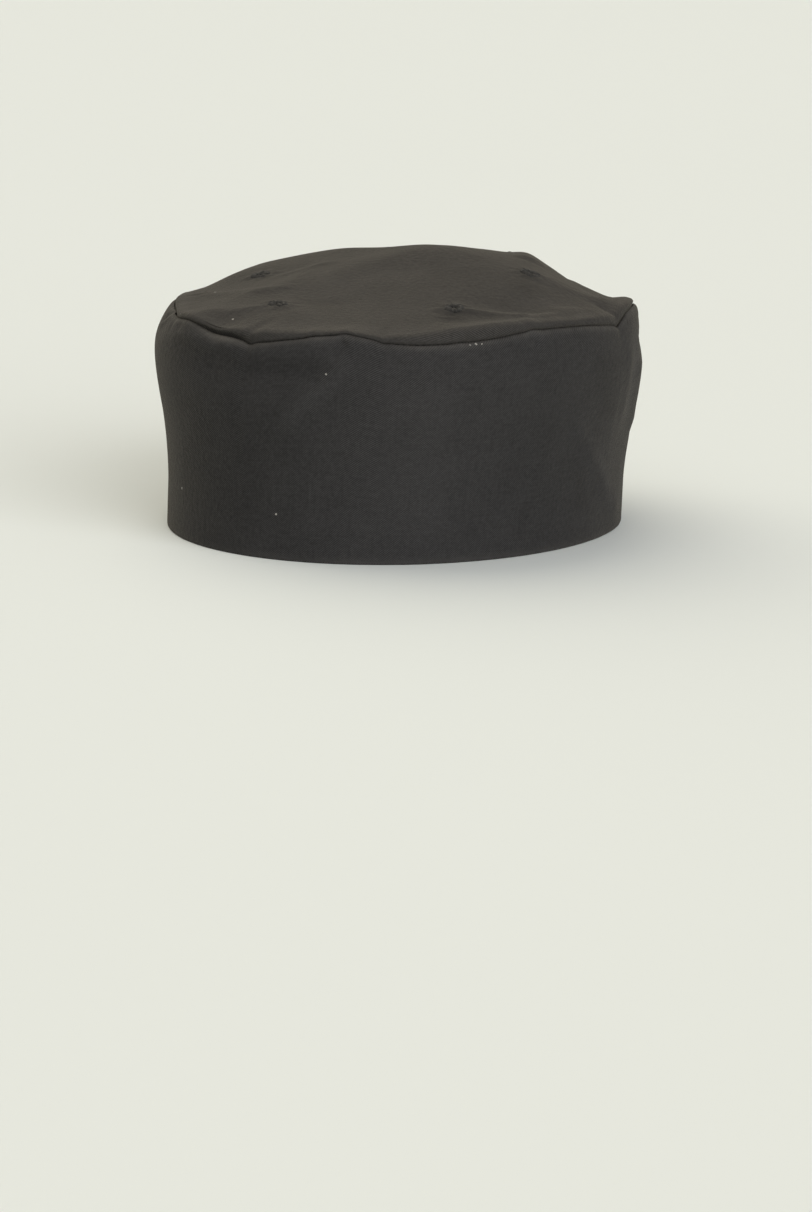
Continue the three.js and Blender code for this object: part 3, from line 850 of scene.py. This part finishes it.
CORE_SIDES = 14
CORE_STEPS = 48
CORE_FLATNESS = 0.9
THREAD_SIDES = 6
LOOP_STEPS = 14

# How unevenly the stitches swell, stand, lean and are spaced
SWELL = (-0.12, 0.3)
LOOP_HEIGHT = (0.75, 1.2)
LEAN = 0.16
SPACING = 0.22


def stitch_ring(eyelet, settings):
    """A ring of satin stitches, each a loop of thread round the edge of the hole."""
    chooser = random.Random(eyelet.node)
    mean_radius = (EYELET_RADIUS + EYELET_HOLE) / 2 * MM
    reach = (EYELET_RADIUS - EYELET_HOLE) / 2 * MM - settings.thread
    bm = bmesh.new()
    core = bmesh.ops.create_circle(
        bm, segments=CORE_SIDES, radius=reach,
        matrix=Matrix.Translation((mean_radius, 0, 0)) @ Matrix.Rotation(math.pi / 2, 4, "X"))
    bmesh.ops.scale(bm, vec=(1, 1, CORE_FLATNESS), verts=core["verts"])
    bmesh.ops.spin(bm, geom=core["verts"] + list(bm.edges), cent=(0, 0, 0), axis=(0, 0, 1),
                   angle=2 * math.pi, steps=CORE_STEPS, use_merge=True)
    for count in range(settings.stitches):
        before = set(bm.verts)
        circle = bmesh.ops.create_circle(
            bm, segments=THREAD_SIDES, radius=settings.thread,
            matrix=Matrix.Translation((mean_radius + reach, 0, 0)))
        edges = list({edge for vert in circle["verts"] for edge in vert.link_edges})
        bmesh.ops.spin(bm, geom=circle["verts"] + edges, cent=(mean_radius, 0, 0), axis=(0, 1, 0),
                       angle=2 * math.pi, steps=LOOP_STEPS, use_merge=True)
        loop = [vert for vert in bm.verts if vert not in before]
        swell = 1 + chooser.uniform(*SWELL)
        bmesh.ops.translate(bm, verts=loop, vec=(-mean_radius, 0, 0))
        bmesh.ops.scale(bm, vec=(swell, 1, chooser.uniform(*LOOP_HEIGHT)), verts=loop)
        bmesh.ops.rotate(bm, verts=loop, cent=(0, 0, 0),
                         matrix=Matrix.Rotation(chooser.uniform(-LEAN, LEAN), 3, "Z"))
        bmesh.ops.translate(bm, verts=loop, vec=(mean_radius, 0, 0))
        turn = (count + chooser.uniform(-SPACING, SPACING)) / settings.stitches * 2 * math.pi
        bmesh.ops.rotate(bm, verts=loop, cent=(0, 0, 0), matrix=Matrix.Rotation(turn, 3, "Z"))
    bmesh.ops.recalc_face_normals(bm, faces=bm.faces)
    centre, facing = eyelet_place(eyelet, settings)
    turned = facing.to_track_quat("Z", "Y").to_matrix().to_4x4()
    bmesh.ops.transform(bm, matrix=Matrix.Translation(centre) @ turned, verts=bm.verts)
    return bm


# Materials

# The scales of the noises, one over their length in metres, and where most of their values lie
SCALES = {
    "sway": 180, "mottle": 75, "grain": 1300, "tufts": 560, "pills": 480, "lint": 1800,
    "thread": 900, "twist": 2400, "floor": 1.5,
}
STREAKS = (60, 2600)
NOISE_SPREAD = (0.3, 0.7)

# The twill, with how far its yarns sway and its lint is ragged in metres
TWILL_REPEAT = 3
FLOAT_STRETCH = 1.4
FLOAT_ROUNDNESS = 0.6
YARN_ROUNDNESS = 0.7
SWAY = 0.0004
LINT_RAGGED = 0.0008
LINT_CORE = 0.4

# How much each texture lightens the cloth, how much wear with its painted highlight, painted seam
# shade and lint cover it, and the shares of a colour that its shades run between
SHADES = {"base": 0.61, "weft": 0.12, "warp": 0.1, "mottle": 0.14, "grain": 0.2, "tufts": 0.24}
COVERS = {"wear": 0.2, "mottled wear_and_highlight": 0.3, "seam": 0.45, "lint": 0.8}
YARN_SHADES = (0.42, 1.35)
SEAM_SHADE_SHARE = 0.22
THREAD_SHADES = (0.5, 2.0)
FLOOR_SHADES = (0.995, 1.005)
WORN_AND_LIT_COLOUR = (0.16, 0.15, 0.135)
LINT_COLOUR = (0.5, 0.48, 0.44)
ROUGHNESS = 0.84
GRAIN_ROUGHNESS = 0.1


class Nodes:
    """Adds shader nodes to one material and joins them up."""

    def __init__(self, material):
        material.use_nodes = True
        self.tree = material.node_tree
        self.tree.nodes.clear()

    def add(self, kind, inputs=(), **settings):
        node = self.tree.nodes.new(kind)
        for name, value in settings.items():
            setattr(node, name, value)
        for name, value in dict(inputs).items():
            socket = node.inputs[name]
            if isinstance(value, bpy.types.NodeSocket):
                self.tree.links.new(value, socket)
            else:
                socket.default_value = value
        return node

    def math(self, operation, first, second=0.5):
        return self.add("ShaderNodeMath", {0: first, 1: second}, operation=operation).outputs[0]

    def vector(self, operation, inputs, output="Vector"):
        return self.add("ShaderNodeVectorMath", inputs, operation=operation).outputs[output]

    def attribute(self, name):
        return self.add("ShaderNodeAttribute", attribute_name=name).outputs["Fac"]

    def ramp(self, value, low, high):
        """The value stretched so that low becomes 0 and high becomes 1."""
        inputs = {"Value": value, "From Min": low, "From Max": high}
        return self.add("ShaderNodeMapRange", inputs).outputs[0]

    def noise(self, place, scale, detail=2.0, roughness=0.5, output="Fac"):
        inputs = {"Vector": place, "Scale": scale, "Detail": detail, "Roughness": roughness}
        return self.add("ShaderNodeTexNoise", inputs).outputs[output]

    def patches(self, place, scale, detail=2.0, roughness=0.5):
        """Noise with its usual spread stretched from 0 to 1."""
        return self.ramp(self.noise(place, scale, detail, roughness), *NOISE_SPREAD)

    def streaks(self, place, stretch):
        """Noise drawn out along one way of the yarns."""
        scaled = self.add("ShaderNodeMapping", {"Vector": place, "Scale": stretch}).outputs[0]
        return self.patches(scaled, 1, detail=1.0)

    def mix(self, factor, first, second, blend="MIX"):
        inputs = {0: factor, 6: first, 7: second}
        return self.add("ShaderNodeMix", inputs, data_type="RGBA", blend_type=blend).outputs[2]

    def between(self, factor, colour, shades):
        """A mix of two shades of one colour."""
        return self.mix(factor, *(opaque(colour, shade) for shade in shades))

    def finish(self, inputs):
        shader = self.add("ShaderNodeBsdfPrincipled", inputs)
        self.add("ShaderNodeOutputMaterial", {"Surface": shader.outputs[0]})


def opaque(colour, scale=1.0):
    return tuple(part * scale for part in colour) + (1.0,)


def twill_relief(nodes, u, v, sizes):
    """Height of a two-up, one-down twill: round yarns whose floats step up by one at each yarn."""
    columns = nodes.math("DIVIDE", u, sizes.warp)
    rows = nodes.math("DIVIDE", v, sizes.weft)
    whole = nodes.math("FLOOR", columns)
    across = nodes.math("SINE", nodes.math("MULTIPLY", nodes.math("FRACT", columns), math.pi))
    stepped = nodes.math("SUBTRACT", rows, whole)
    run = nodes.math("FRACT", nodes.math("DIVIDE", stepped, TWILL_REPEAT))
    on_top = nodes.math("MINIMUM", nodes.math("MULTIPLY", run, FLOAT_STRETCH), 1)
    along = nodes.math("SINE", nodes.math("MULTIPLY", on_top, math.pi))
    return nodes.math("MULTIPLY", nodes.math("POWER", across, YARN_ROUNDNESS),
                      nodes.math("POWER", along, FLOAT_ROUNDNESS))


def lint_cover(nodes, cloth, specks):
    """How far small ragged specks hide the cloth. Their places are in millimetres on its map."""
    stray = nodes.noise(cloth, SCALES["lint"], detail=1.0, output="Color")
    shift = nodes.vector("SCALE", {0: stray, "Scale": LINT_RAGGED})
    ragged = nodes.vector("ADD", {0: cloth, 1: shift})
    aside = LINT_RAGGED / 2
    cover = 0.0
    for (u, v), size in specks:
        centre = (u * MM + aside, v * MM + aside, aside)
        away = nodes.vector("DISTANCE", {0: ragged, 1: centre}, "Value")
        cover = nodes.math("MAXIMUM", cover, nodes.ramp(away, size * MM, LINT_CORE * size * MM))
    return cover


def twill_material(name, colour, lint, sizes, colours):
    """Charcoal twill: diagonal ribs, uneven yarns, soft mottling, fuzz, lint, a little wear and
    painted light and shade.
    """
    material = bpy.data.materials.new(name)
    nodes = Nodes(material)
    cloth = nodes.add("ShaderNodeUVMap", uv_map="cloth").outputs[0]
    place = nodes.add("ShaderNodeTexCoord").outputs["Object"]
    parts = nodes.add("ShaderNodeSeparateXYZ", {"Vector": cloth})
    sway = nodes.math("SUBTRACT", nodes.noise(cloth, SCALES["sway"], detail=1.0), 0.5)
    bend = nodes.math("MULTIPLY", sway, SWAY)
    u = nodes.math("ADD", parts.outputs[0], bend)
    v = nodes.math("ADD", parts.outputs[1], bend)
    relief = twill_relief(nodes, u, v, sizes)

    textures = {
        "weft": nodes.streaks(cloth, (STREAKS[0], STREAKS[1], 1)),
        "warp": nodes.streaks(cloth, (STREAKS[1], STREAKS[0], 1)),
        "mottle": nodes.patches(place, SCALES["mottle"], detail=4.0, roughness=0.55),
        "grain": nodes.patches(cloth, SCALES["grain"]),
        "tufts": nodes.patches(cloth, SCALES["tufts"], detail=1.5),
    }
    # The painted light and shade of the tables lighten and darken the cloth's shade here
    shade = nodes.math("ADD", nodes.attribute("tone"), SHADES["base"])
    for key, texture in textures.items():
        shade = nodes.math("ADD", shade, nodes.math("MULTIPLY", texture, SHADES[key]))
    grey = nodes.add("ShaderNodeCombineColor", {0: shade, 1: shade, 2: shade}).outputs[0]
    toned = nodes.mix(1.0, nodes.between(relief, colour, YARN_SHADES), grey, "MULTIPLY")
    mottled = nodes.math("MULTIPLY", textures["mottle"], COVERS["mottled wear_and_highlight"])
    # Wear at the hem and the roll, with the painted highlight on the band's rim
    wear_and_highlight_share = nodes.math("ADD", mottled, COVERS["wear"])
    wear_and_highlight_cover = nodes.math("MULTIPLY", nodes.attribute("wear"), wear_and_highlight_share)
    with_wear_and_highlight = nodes.mix(wear_and_highlight_cover, toned, opaque(WORN_AND_LIT_COLOUR))
    # Painted shade along the seam
    shaded = nodes.math("MULTIPLY", nodes.attribute("seam"), COVERS["seam"])
    seam_shaded = nodes.mix(shaded, with_wear_and_highlight, opaque(colour, SEAM_SHADE_SHARE))
    cover = nodes.math("MULTIPLY", lint_cover(nodes, cloth, lint), COVERS["lint"])
    final = nodes.mix(cover, seam_shaded, opaque(LINT_COLOUR))

    rough = nodes.math("ADD", nodes.math("MULTIPLY", textures["grain"], GRAIN_ROUGHNESS), ROUGHNESS)
    pilled = nodes.noise(cloth, SCALES["pills"], detail=3.0)
    weave = nodes.add("ShaderNodeBump", {
        "Height": relief, "Distance": 0.00012, "Strength": 0.55})
    surface = nodes.add("ShaderNodeBump", {
        "Height": pilled, "Distance": 0.0006, "Strength": 0.6, "Normal": weave.outputs[0]})
    nodes.finish({
        "Base Color": final,
        "Roughness": rough,
        "Specular IOR Level": 0.14,
        "Sheen Weight": colours.fuzz_weight,
        "Sheen Roughness": 0.35,
        "Sheen Tint": opaque(colours.fuzz),
        "Normal": surface.outputs[0],
    })
    return material


def thread_material(colours):
    """Dark spun thread with a dull gloss and a fine twist."""
    material = bpy.data.materials.new("eyelet_thread")
    nodes = Nodes(material)
    place = nodes.add("ShaderNodeTexCoord").outputs["Object"]
    colour = nodes.between(nodes.patches(place, SCALES["thread"]), colours.thread, THREAD_SHADES)
    fibres = nodes.add("ShaderNodeTexWave", {
        "Vector": place, "Scale": SCALES["twist"], "Distortion": 4.0, "Detail": 2.0})
    twist = nodes.add("ShaderNodeBump", {
        "Height": fibres.outputs["Fac"], "Distance": 0.00006, "Strength": 0.5})
    nodes.finish({
        "Base Color": colour,
        "Roughness": 0.62,
        "Specular IOR Level": 0.35,
        "Sheen Weight": 0.04,
        "Sheen Tint": opaque(colours.fuzz),
        "Normal": twist.outputs[0],
    })
    return material


def floor_material(colours):
    """Pale matt studio floor."""
    material = bpy.data.materials.new("studio_floor")
    nodes = Nodes(material)
    place = nodes.add("ShaderNodeTexCoord").outputs["Object"]
    colour = nodes.between(nodes.noise(place, SCALES["floor"]), colours.floor, FLOOR_SHADES)
    nodes.finish({"Base Color": colour, "Roughness": 0.9, "Specular IOR Level": 0.1})
    return material


# Operators

class SKULLCAP_OT_band(bpy.types.Operator):
    """Makes the tall upright band, with its rounded hem, folds and the join at the back"""

    bl_idname = "skullcap.make_band"
    bl_label = "Make the band"

    def execute(self, context):
        sizes = context.scene.cap_sizes
        colours = context.scene.cap_colours
        lint = [(laid_flat(*speck.place), speck.size) for speck in BAND_LINT]
        material = twill_material("band_twill", colours.band, lint, sizes, colours)
        finished_piece(band_mesh(sizes), "side_band_cloth", material, "side_band")
        return {"FINISHED"}


class SKULLCAP_OT_crown(bpy.types.Operator):
    """Makes the domed oval crown, with its rolled edge, creases and eyelet holes"""

    bl_idname = "skullcap.make_crown"
    bl_label = "Make the crown"

    def execute(self, context):
        sizes = context.scene.cap_sizes
        colours = context.scene.cap_colours
        material = twill_material("crown_twill", colours.crown, CROWN_LINT, sizes, colours)
        piece = finished_piece(crown_mesh(sizes), "crown_cloth", material, "crown")
        wall = piece.modifiers.new("Cloth thickness", "SOLIDIFY")
        wall.thickness = sizes.crown_wall
        wall.offset = -1
        return {"FINISHED"}


class SKULLCAP_OT_eyelets(bpy.types.Operator):
    """Makes the satin stitching of the six vent eyelets"""

    bl_idname = "skullcap.make_eyelets"
    bl_label = "Make the eyelets"

    def execute(self, context):
        sizes = context.scene.cap_sizes
        material = thread_material(context.scene.cap_colours)
        for eyelet in EYELETS:
            ring = stitch_ring(eyelet, sizes)
            finished_piece(ring, eyelet.node + "_stitching", material, eyelet.node)
        return {"FINISHED"}


# Large soft lights far away: how far round from the camera, how high and how wide, in degrees
Sun = namedtuple("Sun", "name turned height spread colour")
SUNS = [
    Sun("key", 34, 22, 60, (1.0, 1.0, 1.0)),
    Sun("back", -140, 44, 80, (1.0, 0.93, 0.76)),
    Sun("top", -20, 66, 60, (1.0, 0.99, 0.96)),
]
SKY_COLOUR = (1.0, 0.985, 0.93)
FLOOR_RADIUS = 15


def direction(turned, height):
    """The way to a place at an angle around the cap and a height above the floor."""
    return Vector((
        math.sin(turned) * math.cos(height),
        -math.cos(turned) * math.cos(height),
        math.sin(height),
    ))


def add_sun(sun, strength, azimuth):
    """One of the lights, its angle taken from the camera's azimuth."""
    name = sun.name + "_light"
    light = bpy.data.lights.new(name, "SUN")
    light.energy = strength
    light.angle = math.radians(sun.spread)
    light.color = sun.colour
    lamp = bpy.data.objects.new(name, light)
    toward = direction(azimuth + math.radians(sun.turned), math.radians(sun.height))
    lamp.rotation_euler = toward.to_track_quat("Z", "Y").to_euler()
    bpy.context.scene.collection.objects.link(lamp)


class SKULLCAP_OT_studio(bpy.types.Operator):
    """Makes the pale floor, the soft light and the camera"""

    bl_idname = "skullcap.make_studio"
    bl_label = "Make the studio"

    def execute(self, context):
        scene = context.scene
        studio = scene.cap_studio
        bm = bmesh.new()
        bmesh.ops.create_circle(bm, cap_ends=True, segments=96, radius=FLOOR_RADIUS)
        linked_object(bm, "studio_floor", floor_material(scene.cap_colours))

        azimuth = studio.azimuth
        for sun in SUNS:
            add_sun(sun, getattr(studio, sun.name), azimuth)
        world = bpy.data.worlds.new("studio_surroundings")
        world.use_nodes = True
        background = world.node_tree.nodes["Background"]
        background.inputs["Color"].default_value = opaque(SKY_COLOUR)
        background.inputs["Strength"].default_value = studio.sky
        scene.world = world
        scene.view_settings.view_transform = "Standard"

        camera_data = bpy.data.cameras.new("camera")
        camera_data.lens = studio.lens
        camera_data.sensor_fit = "VERTICAL"
        camera_data.sensor_height = 36
        camera_data.clip_end = 100
        camera = bpy.data.objects.new("camera", camera_data)
        back = direction(azimuth, studio.elevation)
        right = Vector((math.cos(azimuth), math.sin(azimuth), 0))
        up = back.cross(right)
        tilted_right = right * math.cos(studio.roll) + up * math.sin(studio.roll)
        tilted_up = up * math.cos(studio.roll) - right * math.sin(studio.roll)
        centre = Vector((0, 0, -studio.below)) + tilted_right * studio.aside
        axes = Matrix((tilted_right, tilted_up, back)).transposed().to_4x4()
        camera.matrix_world = Matrix.Translation(centre + back * studio.distance) @ axes
        scene.collection.objects.link(camera)
        scene.camera = camera
        return {"FINISHED"}


class SKULLCAP_PT_panel(bpy.types.Panel):
    """Lists the steps that make the cap and their settings"""

    bl_label = "Skull cap"
    bl_idname = "SKULLCAP_PT_panel"
    bl_space_type = "VIEW_3D"
    bl_region_type = "UI"
    bl_category = "Skull cap"

    def draw(self, context):
        scene = context.scene
        for operator in OPERATORS:
            self.layout.operator(operator.bl_idname)
        for group in (scene.cap_sizes, scene.cap_colours, scene.cap_studio):
            box = self.layout.box()
            for name in group.__annotations__:
                box.prop(group, name)


OPERATORS = (SKULLCAP_OT_studio, SKULLCAP_OT_band, SKULLCAP_OT_crown, SKULLCAP_OT_eyelets)
CLASSES = (CapSizes, CapColours, CapStudio) + OPERATORS + (SKULLCAP_PT_panel,)


def register():
    for cls in CLASSES:
        bpy.utils.register_class(cls)
    bpy.types.Scene.cap_sizes = PointerProperty(type=CapSizes)
    bpy.types.Scene.cap_colours = PointerProperty(type=CapColours)
    bpy.types.Scene.cap_studio = PointerProperty(type=CapStudio)


def unregister():
    del bpy.types.Scene.cap_sizes
    del bpy.types.Scene.cap_colours
    del bpy.types.Scene.cap_studio
    for cls in reversed(CLASSES):
        bpy.utils.unregister_class(cls)


def main():
    register()
    bpy.ops.skullcap.make_studio()
    bpy.ops.skullcap.make_band()
    bpy.ops.skullcap.make_crown()
    bpy.ops.skullcap.make_eyelets()


if __name__ == "__main__":
    main()
